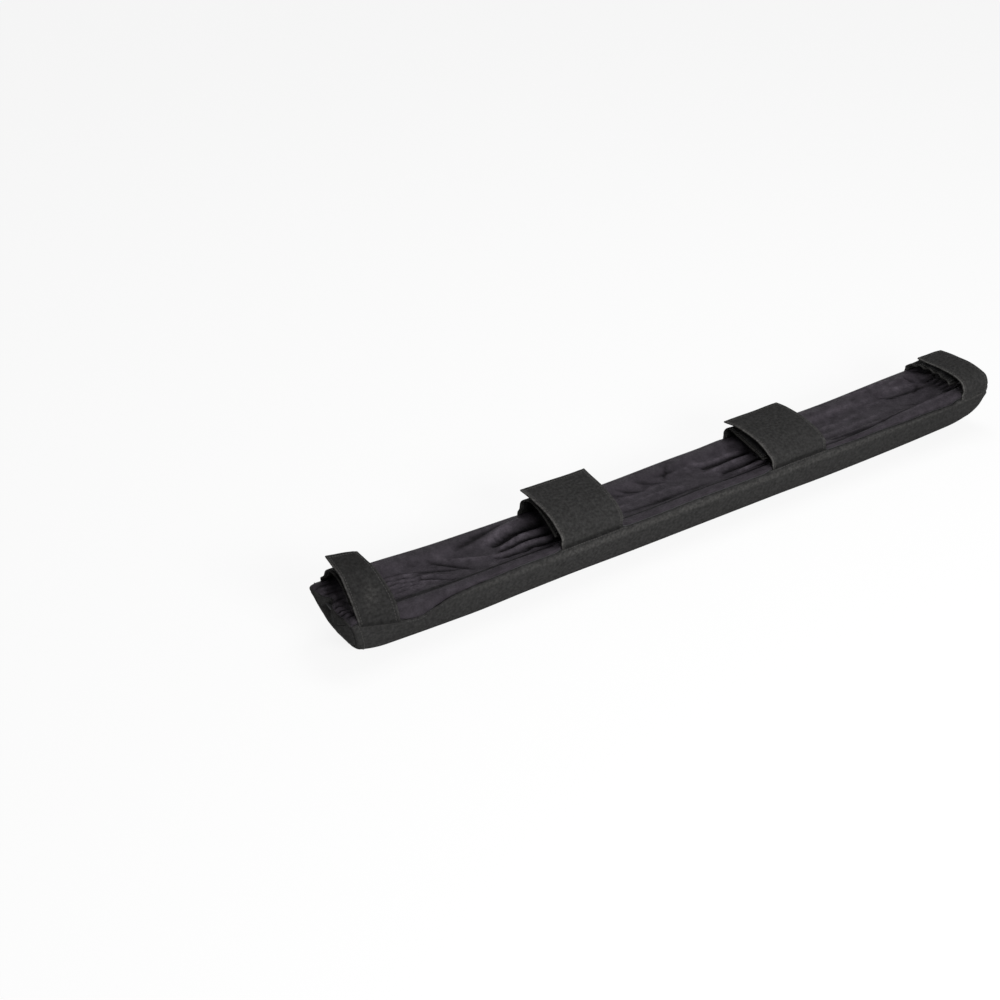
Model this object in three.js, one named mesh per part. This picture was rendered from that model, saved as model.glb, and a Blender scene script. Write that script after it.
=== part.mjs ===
// Roof rack pad, lying on its crown with its closing straps up, as it would be put down on a bench.
// Millimetres. +X runs along the pad, +Z is up, and the origin is on the surface under the pad's middle.
import * as THREE from "three";

// Pad body
const LENGTH = 850; // over the two end panels, at the rim
const WIDTH = 86; // over the two long walls
const HEIGHT = 56; // crown to rim at mid length
const WALL_HEIGHT = 13; // upright part of each wall, under the rim
const RIM_RADIUS = 4;
const FOOT_LENGTH = 400; // the crown lies flat over this length
const FOOT_WIDTH = 24;

// Ends
const END_SLOPE = 15; // the crown is shorter than the rim by this much at each end
const END_LIFT = 5; // the pad curls towards its straps by this much at each end
const END_ROUNDING = 6; // the crown rises by this much into each end
const END_ROUNDING_RUN = 35;

// Cloth and foam
const CANVAS = 1.2;
const NYLON = 0.8;
const CLEARANCE = 0.3; // between any two pieces that lie against each other
const HEM_WIDTH = 8; // canvas turned in over each rim
const GROOVE_DEPTH = 7; // seat for the crossbar
const GROOVE_FLOOR_WIDTH = 36;
const GROOVE_WIDTH = 62;

// Folds of the lining
const PUCKER_HEIGHT = 1.6; // gathers along each end seam
const PUCKER_PITCH = 11;
const PUCKER_RUN = 16;
const FOLD_HEIGHT = 2; // longer folds drawn towards the straps
const FOLD_WIDTH = 5;
const FOLD_LENGTH = 70;
const FOLD_SPACING = 12;

// Straps
const END_STRAP_WIDTH = 38;
const MIDDLE_STRAP_WIDTH = 76;
const END_STRAP_SETBACK = 9; // from the pad's end to the strap's edge, at the rim
const MIDDLE_STRAP_CENTRE = 138; // from the pad's middle
const STRAP_ARCH = 40; // height of the tallest strap over the rim
const STRAP_THICKNESS = 2; // doubled canvas
const ROOT_INSET = 2.5; // from the wall to the middle of a strap's sewn end
const ROOT_RISE = 2.5; // a strap stands upright over its seam by this much before it bends
const TAPE_THICKNESS = 1;
const TAPE_LENGTH = 45;
const TAPE_MARGIN = 4; // from a strap's free end and edges to its tape

// Fineness of the curved surfaces
const DOME_STEPS = 9;
const RIM_STEPS = 3;
const END_STEPS = 4;
const BOW_STEPS = 4;
const GROOVE_STEPS = 20;
const LINING_STEPS = 60;
const STRAP_STEPS = 20;
const TAPE_STEPS = 9;

const HALF_LENGTH = LENGTH / 2;
const HALF_WIDTH = WIDTH / 2;
const DOME_DEPTH = HEIGHT - WALL_HEIGHT;
const LINING_TOP = HEIGHT - CANVAS - CLEARANCE;
const FOAM_TOP = LINING_TOP - NYLON - CLEARANCE;
const TOP_HALF_WIDTH = HALF_WIDTH - RIM_RADIUS;
const SKIN = CANVAS + CLEARANCE;

const canvas = new THREE.MeshStandardMaterial({ color: 0x33322f, roughness: 0.9, metalness: 0 });
const nylon = new THREE.MeshStandardMaterial({ color: 0x352f36, roughness: 0.55, metalness: 0 });
const foam = new THREE.MeshStandardMaterial({ color: 0x2a2a2c, roughness: 0.95, metalness: 0 });
const hookTape = new THREE.MeshStandardMaterial({ color: 0x1c1c1d, roughness: 0.8, metalness: 0 });
const loopTape = new THREE.MeshStandardMaterial({ color: 0x222223, roughness: 1, metalness: 0 });

// Rises from 0 to 1 as value goes from low to high
function ramp(value, low, high) {
  return THREE.MathUtils.clamp((value - low) / (high - low), 0, 1);
}

function mesh(name, geometry, material) {
  const piece = new THREE.Mesh(geometry, material);
  piece.name = name;
  return piece;
}

// Volume inside a closed surface, negative where its faces point inwards
function signedVolume(points, triangles) {
  let total = 0;
  for (const [a, b, c] of triangles) {
    total += points[a].dot(new THREE.Vector3().crossVectors(points[b], points[c])) / 6;
  }
  return total;
}

function solid(points, triangles) {
  const outward = signedVolume(points, triangles) > 0;
  const index = triangles.flatMap(([a, b, c]) => (outward ? [a, b, c] : [a, c, b]));
  const geometry = new THREE.BufferGeometry().setFromPoints(points);
  geometry.setIndex(index);
  geometry.computeVertexNormals();
  return geometry;
}

// Triangles that close a ring, turned the same way round as the ring runs
function capTriangles(outline) {
  const ringIsClockwise = THREE.ShapeUtils.isClockWise(outline);
  return THREE.ShapeUtils.triangulateShape(outline, []).map(([a, b, c]) => {
    const clockwise = THREE.ShapeUtils.isClockWise([outline[a], outline[b], outline[c]]);
    return clockwise === ringIsClockwise ? [a, b, c] : [a, c, b];
  });
}

// A closed solid through rings of points; ends are the first and last ring as flat outlines
function loft(rings, ends) {
  const count = rings[0].length;
  const triangles = [];
  for (let ring = 0; ring < rings.length - 1; ring += 1) {
    for (let side = 0; side < count; side += 1) {
      const a = ring * count + side;
      const b = ring * count + ((side + 1) % count);
      triangles.push([a, b, b + count], [a, b + count, a + count]);
    }
  }
  const last = (rings.length - 1) * count;
  for (const [a, b, c] of capTriangles(ends[0])) {
    triangles.push([a, c, b]);
  }
  for (const [a, b, c] of capTriangles(ends[1])) {
    triangles.push([last + a, last + b, last + c]);
  }
  return solid(rings.flat(), triangles);
}

// A loft along the pad, whose end rings face along X
function loftAlongPad(rings) {
  const ends = [rings[0], rings.at(-1)].map((ring) => ring.map(({ y, z }) => new THREE.Vector2(y, z)));
  return loft(rings, ends);
}

// A closed sheet of cloth: rows of points on its upper side, and its thickness straight down from them
function clothSheet(rows, thickness) {
  const across = rows[0].length;
  const upper = rows.flat();
  const lower = upper.map((point) => point.clone().setZ(point.z - thickness));
  const under = upper.length;
  const triangles = [];
  for (let row = 0; row < rows.length - 1; row += 1) {
    for (let column = 0; column < across - 1; column += 1) {
      const a = row * across + column;
      const b = a + 1;
      const c = b + across;
      const d = a + across;
      triangles.push([a, b, c], [a, c, d]);
      triangles.push([under + a, under + c, under + b], [under + a, under + d, under + c]);
    }
  }
  const last = (rows.length - 1) * across;
  const border = [];
  for (let column = 0; column < across - 1; column += 1) border.push(column);
  for (let row = 0; row < rows.length - 1; row += 1) border.push(row * across + across - 1);
  for (let column = across - 1; column > 0; column -= 1) border.push(last + column);
  for (let row = rows.length - 1; row > 0; row -= 1) border.push(row * across);
  border.forEach((from, index) => {
    const to = border[(index + 1) % border.length];
    triangles.push([to, from, under + from], [to, under + from, under + to]);
  });
  return solid([...upper, ...lower], triangles);
}

// Stations along the pad, from -1 at the left end to 1 at the right: close together at the rounded ends
function stations() {
  const bowed = HALF_LENGTH - END_ROUNDING_RUN - FOOT_LENGTH / 2;
  const distances = [];
  for (let step = 0; step < END_STEPS; step += 1) {
    distances.push((END_ROUNDING_RUN * step) / END_STEPS);
  }
  for (let step = 0; step <= BOW_STEPS; step += 1) {
    distances.push(END_ROUNDING_RUN + (bowed * step) / BOW_STEPS);
  }
  const right = distances.map((distance) => 1 - distance / HALF_LENGTH);
  return [...right.map((station) => -station), ...right.reverse()];
}

// How far the pad's ends curl up, and how far its crown is rounded into them
function lift(station) {
  return END_LIFT * ramp(Math.abs(station) * HALF_LENGTH, FOOT_LENGTH / 2, HALF_LENGTH) ** 2;
}

function rounding(station) {
  const from = HALF_LENGTH - END_ROUNDING_RUN;
  return END_ROUNDING * ramp(Math.abs(station) * HALF_LENGTH, from, HALF_LENGTH) ** 2;
}

// A point of the cross-section, set at its station; endInset keeps it back from the end faces
function placed(station, point, endInset = 0) {
  const depth = 1 - point.y / HEIGHT;
  const half = HALF_LENGTH - END_SLOPE * depth - endInset;
  return new THREE.Vector3(station * half, point.x, point.y + lift(station) + rounding(station) * depth);
}

function mirrored(points) {
  return points.map((point) => new THREE.Vector2(-point.x, point.y)).reverse();
}

// One side of the section at an inset from the outer surface, from the rim down to the flat foot
function domeSide(inset) {
  const width = HALF_WIDTH - inset;
  const fullDepth = DOME_DEPTH / Math.sqrt(1 - (FOOT_WIDTH / WIDTH) ** 2) - inset;
  const footAngle = Math.asin((DOME_DEPTH - inset) / fullDepth);
  const points = [];
  for (let step = 0; step <= DOME_STEPS; step += 1) {
    const angle = (footAngle * step) / DOME_STEPS;
    points.push(new THREE.Vector2(width * Math.cos(angle), DOME_DEPTH - fullDepth * Math.sin(angle)));
  }
  return points;
}

function hemAndRim(inset) {
  const points = [new THREE.Vector2(HALF_WIDTH - HEM_WIDTH, HEIGHT - inset)];
  for (let step = 0; step <= RIM_STEPS; step += 1) {
    const angle = (Math.PI / 2) * (1 - step / RIM_STEPS);
    const y = TOP_HALF_WIDTH + (RIM_RADIUS - inset) * Math.cos(angle);
    points.push(new THREE.Vector2(y, HEIGHT - RIM_RADIUS + (RIM_RADIUS - inset) * Math.sin(angle)));
  }
  return points;
}

// Depth of the crossbar groove under the rim plane
function grooveDepth(y) {
  const side = ramp(Math.abs(y), GROOVE_FLOOR_WIDTH / 2, GROOVE_WIDTH / 2);
  return GROOVE_DEPTH * (1 - side * side * (3 - 2 * side));
}

// A line over the grooved face, from the near side to the far side
function groovedTop(height) {
  const points = [];
  for (let step = 0; step <= GROOVE_STEPS; step += 1) {
    const y = TOP_HALF_WIDTH * ((2 * step) / GROOVE_STEPS - 1);
    points.push(new THREE.Vector2(y, height - grooveDepth(y)));
  }
  return points;
}

// Canvas over the crown and both walls, turned in over the rims
function coverShell() {
  const outerSide = [...hemAndRim(0), ...domeSide(0)];
  const innerSide = [...hemAndRim(CANVAS), ...domeSide(CANVAS)];
  const outer = [...outerSide, ...mirrored(outerSide)];
  const inner = [...innerSide, ...mirrored(innerSide)];
  const outline = [...outer, ...inner.reverse()];
  return loftAlongPad(stations().map((station) => outline.map((point) => placed(station, point))));
}

// The outline that fits inside the canvas, closed over the groove at a given height
function coreOutline(height) {
  const wallTop = new THREE.Vector2(HALF_WIDTH - SKIN, HEIGHT - RIM_RADIUS);
  const side = [wallTop, ...domeSide(SKIN)];
  return [...side, ...mirrored(side), ...groovedTop(height)];
}

// Closed-cell foam bar of D section with the crossbar's groove in its flat face
function foamCore() {
  const outline = coreOutline(FOAM_TOP);
  return loftAlongPad(stations().map((station) => outline.map((point) => placed(station, point, SKIN))));
}

// D-shaped canvas panel that closes one end; side is -1 at the left and 1 at the right
function endPanel(side) {
  const outline = coreOutline(LINING_TOP);
  return loftAlongPad([0, CANVAS].map((inset) => outline.map((point) => placed(side, point, inset))));
}

const END_STRAP_CENTRE = HALF_LENGTH - END_STRAP_SETBACK - END_STRAP_WIDTH / 2;

// A strap's route across the pad is a list of [share of the half width, share of the strap arch over the rim].
// The outer strap's heights are above the layers of strap and tape that it closes over.
// Its twist is how much one corner of the free end stands higher than the middle, as a share of the arch.
const STRAPS = [
  {
    centre: -END_STRAP_CENTRE,
    width: END_STRAP_WIDTH,
    outer: [[-0.82, 0.1125], [-0.58, 0.4125], [-0.28, 0.725], [0.07, 0.8375], [0.43, 0.9]],
    inner: [[0.82, 0.35], [0.64, 0.5625], [0.4, 0.7], [0.1, 0.725], [-0.2, 0.6125], [-0.45, 0.375], [-0.6, 0.15]],
    twist: -0.0875,
  },
  {
    centre: -MIDDLE_STRAP_CENTRE,
    width: MIDDLE_STRAP_WIDTH,
    outer: [[-0.965, 0.175], [-0.77, 0.475], [-0.46, 0.6625], [-0.09, 0.7625], [0.28, 0.8125], [0.63, 0.825]],
    inner: [[0.86, 0.3], [0.72, 0.55], [0.42, 0.7125], [0.14, 0.65], [-0.24, 0.425], [-0.57, 0.225], [-0.72, 0.1]],
    twist: 0.0125,
  },
  {
    centre: MIDDLE_STRAP_CENTRE,
    width: MIDDLE_STRAP_WIDTH,
    outer: [[-0.93, 0.1], [-0.73, 0.2875], [-0.41, 0.45], [0, 0.5375], [0.46, 0.55], [0.9, 0.5]],
    inner: [[0.93, 0.2], [0.76, 0.375], [0.56, 0.325], [0.07, 0.2], [-0.39, 0.1], [-0.62, 0.0375]],
    twist: 0.025,
  },
  {
    centre: END_STRAP_CENTRE,
    width: END_STRAP_WIDTH,
    outer: [[-1.02, 0.075], [-1, 0.2125], [-0.84, 0.3125], [-0.46, 0.4], [0, 0.3875], [0.42, 0.3625], [0.65, 0.35]],
    inner: [[0.96, 0.125], [0.85, 0.2375], [0.58, 0.3125], [0.2, 0.2875], [-0.3, 0.175], [-0.6, 0.0625]],
    twist: -0.025,
  },
];

// Height from the middle of an inner strap to the middle of the outer strap that is closed over it
const CLOSED_STACK = STRAP_THICKNESS + 2 * TAPE_THICKNESS + 3 * CLEARANCE;

// The route as a curve in the plane across the pad; side is -1 from the near rim, 1 from the far rim
function strapRoute(side, shares, stack) {
  const root = new THREE.Vector3(0, side * (HALF_WIDTH - ROOT_INSET), HEIGHT + CLEARANCE);
  const risen = root.clone().setZ(root.z + ROOT_RISE);
  const rest = shares.map(([share, height]) => {
    return new THREE.Vector3(0, share * HALF_WIDTH, HEIGHT + height * STRAP_ARCH + stack);
  });
  const curve = new THREE.CurvePath();
  curve.add(new THREE.LineCurve3(root, risen));
  curve.add(new THREE.CatmullRomCurve3([risen, ...rest], false, "centripetal"));
  return { curve, side };
}

// A flat ribbon along a route, from one length to another, its middle at an offset over the route
function ribbon(strap, route, { from, to, offset, thickness, margin, steps }) {
  const length = route.curve.getLength();
  const half = strap.width / 2 - margin;
  const rings = [];
  for (let step = 0; step <= steps; step += 1) {
    const share = THREE.MathUtils.lerp(from, to, step / steps) / length;
    const middle = route.curve.getPointAt(share);
    const along = route.curve.getTangentAt(share);
    const over = new THREE.Vector3(0, -along.z, along.y).multiplyScalar(-route.side);
    const corners = [[-half, 1], [half, 1], [half, -1], [-half, -1]];
    rings.push(corners.map(([across, face]) => {
      const point = middle.clone().addScaledVector(over, offset + (face * thickness) / 2);
      point.x = strap.centre + across;
      point.z += (strap.twist * STRAP_ARCH * across * share ** 2) / (strap.width / 2);
      point.z += lift(point.x / HALF_LENGTH);
      return point;
    }));
  }
  const outline = [[-1, 1], [1, 1], [1, -1], [-1, -1]].map(([x, y]) => new THREE.Vector2(x, y));
  return loft(rings, [outline, outline]);
}

// Doubled canvas, sewn in at the rim and free at its other end
function strapGeometry(strap, route) {
  const to = route.curve.getLength();
  const size = { offset: 0, thickness: STRAP_THICKNESS, margin: 0, steps: STRAP_STEPS };
  return ribbon(strap, route, { from: 0, to, ...size });
}

// Hook or loop tape near the strap's free end; face is 1 on top of the strap and -1 under it
function tapeGeometry(strap, route, face) {
  const to = route.curve.getLength() - TAPE_MARGIN;
  const offset = face * (STRAP_THICKNESS / 2 + CLEARANCE + TAPE_THICKNESS / 2);
  const size = { offset, thickness: TAPE_THICKNESS, margin: TAPE_MARGIN, steps: TAPE_STEPS };
  return ribbon(strap, route, { from: to - TAPE_LENGTH, to, ...size });
}

// Gathers that run in from each end seam and die out
function puckerHeight(x, y) {
  const fade = 1 - ramp(HALF_LENGTH - Math.abs(x), 0, PUCKER_RUN);
  return PUCKER_HEIGHT * fade * (0.5 + 0.5 * Math.cos((2 * Math.PI * y) / PUCKER_PITCH));
}

// Folds that lead up to a strap's left edge, and to the first strap's right edge
function strapFoldHeight(x, y) {
  let height = 0;
  for (const strap of STRAPS) {
    const atEnd = Math.abs(strap.centre) === END_STRAP_CENTRE;
    const side = atEnd ? -Math.sign(strap.centre) : -1;
    const distance = side * (x - strap.centre) - strap.width / 2;
    if (distance < 0 || distance > FOLD_LENGTH) continue;
    const along = Math.sin((Math.PI * distance) / FOLD_LENGTH);
    for (const row of [-1, 0, 1]) {
      const middle = row * FOLD_SPACING * (1 + distance / FOLD_LENGTH) * 0.5;
      height = Math.max(height, FOLD_HEIGHT * along * Math.exp(-(((y - middle) / FOLD_WIDTH) ** 2)));
    }
  }
  return height;
}

// Nylon over the grooved face, its edges held under the hems, its folds only inside the groove
function lining() {
  const rows = [];
  for (let step = 0; step <= LINING_STEPS; step += 1) {
    const station = (2 * step) / LINING_STEPS - 1;
    rows.push(groovedTop(LINING_TOP).map((point) => {
      const spot = placed(station, point, SKIN);
      const folds = Math.max(puckerHeight(spot.x, spot.y), strapFoldHeight(spot.x, spot.y));
      spot.z += (folds * grooveDepth(spot.y)) / GROOVE_DEPTH;
      return spot;
    }));
  }
  return clothSheet(rows, NYLON);
}

const pad = new THREE.Group();
pad.add(mesh("cover_shell", coverShell(), canvas));
pad.add(mesh("end_panel_left", endPanel(-1), canvas));
pad.add(mesh("end_panel_right", endPanel(1), canvas));
pad.add(mesh("lining", lining(), nylon));
pad.add(mesh("foam_core", foamCore(), foam));
STRAPS.forEach((strap, index) => {
  const number = index + 1;
  const outerRoute = strapRoute(-1, strap.outer, CLOSED_STACK);
  const innerRoute = strapRoute(1, strap.inner, 0);
  pad.add(mesh(`strap_outer_${number}`, strapGeometry(strap, outerRoute), canvas));
  pad.add(mesh(`strap_inner_${number}`, strapGeometry(strap, innerRoute), canvas));
  pad.add(mesh(`hook_tape_${number}`, tapeGeometry(strap, outerRoute, -1), hookTape));
  pad.add(mesh(`loop_tape_${number}`, tapeGeometry(strap, innerRoute, 1), loopTape));
});

export default pad;
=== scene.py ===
# Roof rack pad: a canvas sleeve over a foam bar, lying on its crown with its closing straps up.
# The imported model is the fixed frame, and each piece here is sewn onto it from the foam outwards.
# Sizes are in millimetres; add_cloth writes the meshes in metres.
import math

import bmesh
import bpy
import numpy as np
from mathutils import Matrix, Vector


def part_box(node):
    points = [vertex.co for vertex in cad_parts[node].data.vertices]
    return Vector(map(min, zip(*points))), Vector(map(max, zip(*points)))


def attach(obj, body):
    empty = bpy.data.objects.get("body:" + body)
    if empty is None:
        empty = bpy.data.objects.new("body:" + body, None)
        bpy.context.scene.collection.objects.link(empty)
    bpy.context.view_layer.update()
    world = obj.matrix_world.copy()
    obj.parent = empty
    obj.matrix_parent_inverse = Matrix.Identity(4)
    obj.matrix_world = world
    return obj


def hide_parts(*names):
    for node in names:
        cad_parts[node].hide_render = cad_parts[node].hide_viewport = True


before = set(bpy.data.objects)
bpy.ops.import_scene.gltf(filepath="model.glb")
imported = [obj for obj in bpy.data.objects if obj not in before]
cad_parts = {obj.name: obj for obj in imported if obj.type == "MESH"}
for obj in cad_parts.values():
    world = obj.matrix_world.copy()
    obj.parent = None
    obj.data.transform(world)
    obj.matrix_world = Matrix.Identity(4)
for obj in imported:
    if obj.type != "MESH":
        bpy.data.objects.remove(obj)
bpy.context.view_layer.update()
scene = bpy.context.scene
scene.view_settings.view_transform = "Standard"
MM = 0.001


# Camera
# It stands at the pad's near left, about a metre above the bench, and looks down along the pad.
# The pad lies right of the middle of the picture, so the camera aims past its left half.
CAMERA_AIM = (-122.3, 162.8, -1.8)
CAMERA_DISTANCE = 2196.2
CAMERA_AZIMUTH = math.radians(-31.505)
CAMERA_ELEVATION = math.radians(29.976)
CAMERA_ROLL = math.radians(-2.746)
CAMERA_LENS = 70.06

back = Vector((
    math.sin(CAMERA_AZIMUTH) * math.cos(CAMERA_ELEVATION),
    -math.cos(CAMERA_AZIMUTH) * math.cos(CAMERA_ELEVATION),
    math.sin(CAMERA_ELEVATION),
))
camera = bpy.data.objects.new("camera", bpy.data.cameras.new("camera"))
camera.data.lens = CAMERA_LENS
camera.data.sensor_width = 36
camera.data.clip_end = 50
camera.rotation_mode = "QUATERNION"
camera.location = (Vector(CAMERA_AIM) + back * CAMERA_DISTANCE) * MM
looking = (-back).to_track_quat("-Z", "Y").to_matrix() @ Matrix.Rotation(CAMERA_ROLL, 3, "Z")
camera.rotation_quaternion = looking.to_quaternion()
scene.collection.objects.link(camera)
scene.camera = camera


# Bench and light
# A white bench top runs out to a white room. Both look plain white to the camera and in gloss,
# and the bench keeps a soft share of the pad's shadow.
def feed(tree, sockets, values):
    """Sets each socket to its value, or links it where the value is another node's output."""
    for socket, value in zip(sockets, values):
        if isinstance(value, bpy.types.NodeSocket):
            tree.links.new(value, socket)
        else:
            socket.default_value = value


def feed_named(tree, node, sockets):
    feed(tree, [node.inputs[key.replace("_", " ")] for key in sockets], sockets.values())


def place(tree, kind, attributes=None, **sockets):
    """One shader or geometry node with its sockets fed by name."""
    node = tree.nodes.new(kind)
    for key, value in (attributes or {}).items():
        setattr(node, key, value)
    feed_named(tree, node, sockets)
    return node


def maths(tree, operation, *values, clamp=False):
    node = place(tree, "ShaderNodeMath", {"operation": operation, "use_clamp": clamp})
    feed(tree, node.inputs, values)
    return node.outputs[0]


def new_material(name, **sockets):
    """A material, its node tree and its main shader, whose sockets are fed by name."""
    material = bpy.data.materials.new(name)
    material.use_nodes = True
    shader = material.node_tree.nodes["Principled BSDF"]
    feed_named(material.node_tree, shader, sockets)
    return material, material.node_tree, shader


def seen_directly(tree):
    """1 where the camera, a reflection or a clear material looks at the surface."""
    path = place(tree, "ShaderNodeLightPath")
    glossy_or_clear = maths(
        tree, "ADD", path.outputs["Is Glossy Ray"], path.outputs["Is Transmission Ray"]
    )
    return maths(tree, "ADD", path.outputs["Is Camera Ray"], glossy_or_clear, clamp=True)


BENCH_SIZE = 14000
SHADOW_SHARE = 0.12
ROOM_STRENGTH = 0.22


def bench_material():
    material, tree, _ = new_material("white bench top")
    tree.nodes.clear()
    paint = place(tree, "ShaderNodeBsdfDiffuse", Color=(0.9, 0.9, 0.9, 1))
    white = place(tree, "ShaderNodeEmission", Color=(1, 1, 1, 1), Strength=1.0)
    share = maths(tree, "MULTIPLY", seen_directly(tree), 1 - SHADOW_SHARE)
    mixed = place(tree, "ShaderNodeMixShader", Fac=share)
    feed(tree, mixed.inputs[1:], [paint.outputs[0], white.outputs[0]])
    place(tree, "ShaderNodeOutputMaterial", Surface=mixed.outputs[0])
    return material


half_bench = BENCH_SIZE * MM / 2
corners = [(x * half_bench, y * half_bench, 0) for x, y in ((-1, -1), (1, -1), (1, 1), (-1, 1))]
bench_mesh = bpy.data.meshes.new("bench")
bench_mesh.from_pydata(corners, [], [(0, 1, 2, 3)])
bench_mesh.materials.append(bench_material())
bench = bpy.data.objects.new("bench", bench_mesh)
scene.collection.objects.link(bench)

room = bpy.data.worlds.new("room")
room.use_nodes = True
room.node_tree.nodes.clear()
seen = seen_directly(room.node_tree)
strength = maths(room.node_tree, "MULTIPLY_ADD", seen, 1 - ROOM_STRENGTH, ROOM_STRENGTH)
sky = place(room.node_tree, "ShaderNodeBackground", Color=(1, 1, 1, 1), Strength=strength)
place(room.node_tree, "ShaderNodeOutputWorld", Surface=sky.outputs[0])
scene.world = room


def soft_lamp(name, place_at, size, watts):
    """A rectangular lamp that is turned to the middle of the bench."""
    lamp = bpy.data.lights.new(name, "AREA")
    lamp.shape = "RECTANGLE"
    lamp.size, lamp.size_y = size
    lamp.energy = watts
    thing = bpy.data.objects.new(name, lamp)
    thing.location = place_at
    thing.rotation_mode = "QUATERNION"
    thing.rotation_quaternion = (-Vector(place_at)).to_track_quat("-Z", "Y")
    scene.collection.objects.link(thing)


soft_lamp("overhead softbox", (0.35, 0.1, 1.7), (1.2, 0.6), 13)
soft_lamp("near side softbox", (-0.3, -1.9, 0.9), (1.0, 0.5), 43)


# Foam bar
# Closed-cell foam of D section, with the crossbar's groove in its flat side. It fills the cover
# and is never seen, but it gives every sheet of cloth over it its form.
cover_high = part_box("cover_shell")[1]
HALF_LENGTH = cover_high.x / MM
HALF_WIDTH = cover_high.y / MM
HEIGHT = 56
END_LIFT = cover_high.z / MM - HEIGHT
WALL_HEIGHT = 13
RIM_RADIUS = 4
FOOT_WIDTH = 24
FOOT_LENGTH = 400
END_SLOPE = 15
END_ROUNDING = 6
END_ROUNDING_RUN = 35
CANVAS = 1.2
CLEARANCE = 0.3
NYLON = 0.8
GROOVE_DEPTH = 7
GROOVE_FLOOR_WIDTH = 36
GROOVE_WIDTH = 62
DOME_DEPTH = HEIGHT - WALL_HEIGHT
RIM_ARC = RIM_RADIUS * math.pi / 2
WALL_FOOT = RIM_ARC + HEIGHT - RIM_RADIUS - DOME_DEPTH
LINING_TOP = HEIGHT - 0.2
FOLD_ROOM = 3.2
FOAM_COLOUR = (0.03, 0.03, 0.032, 1)
FOAM_CELL = 0.0016
LEFT_END_PULL = 3.4
THIRD_STRAP_PULL = 1.7
FAR_RIM_RISE = 1.4
FAR_RIM_FALL = 0.6
MIDDLE_SAG = 1.5


def ramp(value, low, high):
    return np.clip((value - low) / (high - low), 0, 1)


def smooth(value, low, high):
    share = ramp(value, low, high)
    return share * share * (3 - 2 * share)


def bell(value, middle, spread):
    return np.exp(-(((value - middle) / spread) ** 2))


def groove_depth(y):
    return GROOVE_DEPTH * (1 - smooth(np.abs(y), GROOVE_FLOOR_WIDTH / 2, GROOVE_WIDTH / 2))


def slump(x, y, z):
    """How far the soft pad has settled out of true: small waves, a sag, and a far rim pulled up."""
    height = ramp(z, 0, HEIGHT) ** 2
    far = ramp(y, -HALF_WIDTH, HALF_WIDTH)
    far_wave = 0.4 * np.sin(x / 47 + 1.0) + 0.25 * np.sin(x / 23)
    near_wave = 0.35 * np.sin(x / 53 + 2.2) + 0.25 * np.sin(x / 19 + 0.7)
    pulled_rim = LEFT_END_PULL * bell(x, -360, 60) + THIRD_STRAP_PULL * bell(x, 95, 25)
    pulled_rim = pulled_rim + FAR_RIM_RISE - FAR_RIM_FALL * smooth(x, 250, 320)
    sag = MIDDLE_SAG * bell(x, 0, 260)
    rise = height * (far * (far_wave + pulled_rim) + (1 - far) * near_wave - sag)
    sway = height * (0.4 * np.sin(x / 61 + 0.4) + 0.3 * np.sin(x / 27 + 2.0))
    return sway, rise


def end_curl(x):
    """How far the pad's ends have risen off the bench."""
    return END_LIFT * ramp(np.abs(x), FOOT_LENGTH / 2, HALF_LENGTH) ** 2


def placed(station, y, z):
    """A point of the section, set along the pad; station is -1 at the left end and 1 at the right."""
    depth = 1 - z / HEIGHT
    x = station * (HALF_LENGTH - END_SLOPE * depth)
    curl = end_curl(station * HALF_LENGTH)
    rounded_from = HALF_LENGTH - END_ROUNDING_RUN
    rounding = END_ROUNDING * ramp(np.abs(station) * HALF_LENGTH, rounded_from, HALF_LENGTH) ** 2
    sway, rise = slump(x, y, z)
    return np.stack(np.broadcast_arrays(x, y + sway, z + curl + rounding * depth + rise), -1)


def dome_height(inset):
    """Height of the whole half ellipse that the dome is cut from."""
    return DOME_DEPTH / math.sqrt(1 - (FOOT_WIDTH / 2 / HALF_WIDTH) ** 2) - inset


def rim_point(run, inset):
    """A point over the rim and down the wall, by its run from the inner edge of the rim's roundness."""
    turn = np.clip(run, 0, RIM_ARC) / RIM_RADIUS
    y = HALF_WIDTH - RIM_RADIUS + np.minimum(run, 0) + (RIM_RADIUS - inset) * np.sin(turn)
    z = HEIGHT - RIM_RADIUS + (RIM_RADIUS - inset) * np.cos(turn) - np.maximum(run - RIM_ARC, 0)
    below = np.clip((DOME_DEPTH - z) / dome_height(inset), 0, 1)
    return np.stack([y - (HALF_WIDTH - inset) * (1 - np.sqrt(1 - below ** 2)), z], -1)


def half_section(runs, inset, dome_steps, foot_steps):
    """Half of the section from the rim's given runs down over the dome to the middle of the foot."""
    full_depth = dome_height(inset)
    begun = math.asin(max(runs[-1] - WALL_FOOT, 0) / full_depth)
    turn = np.linspace(begun, math.asin((DOME_DEPTH - inset) / full_depth), dome_steps + 1)[1:]
    dome = np.stack([
        (HALF_WIDTH - inset) * np.cos(turn), DOME_DEPTH - full_depth * np.sin(turn)
    ], -1)
    foot_y = np.linspace(dome[-1, 0], 0, foot_steps + 1)[1:]
    foot = np.stack([foot_y, np.full(len(foot_y), dome[-1, 1])], -1)
    return np.concatenate([rim_point(runs, inset), dome, foot])


def whole_section(near, far):
    """A near half and a far half joined at the middle of the foot, from the near rim to the far one."""
    return np.concatenate([near * (-1, 1), far[-2::-1]])


def grid_faces(rows, columns, closed=False):
    """Quads over a grid of points kept row by row; closed joins the last column to the first."""
    across = np.arange(columns if closed else columns - 1)
    a = np.arange(rows - 1)[:, None] * columns + across
    b = np.arange(rows - 1)[:, None] * columns + (across + 1) % columns
    return np.stack([a, b, b + columns, a + columns], -1).reshape(-1, 4)


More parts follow.
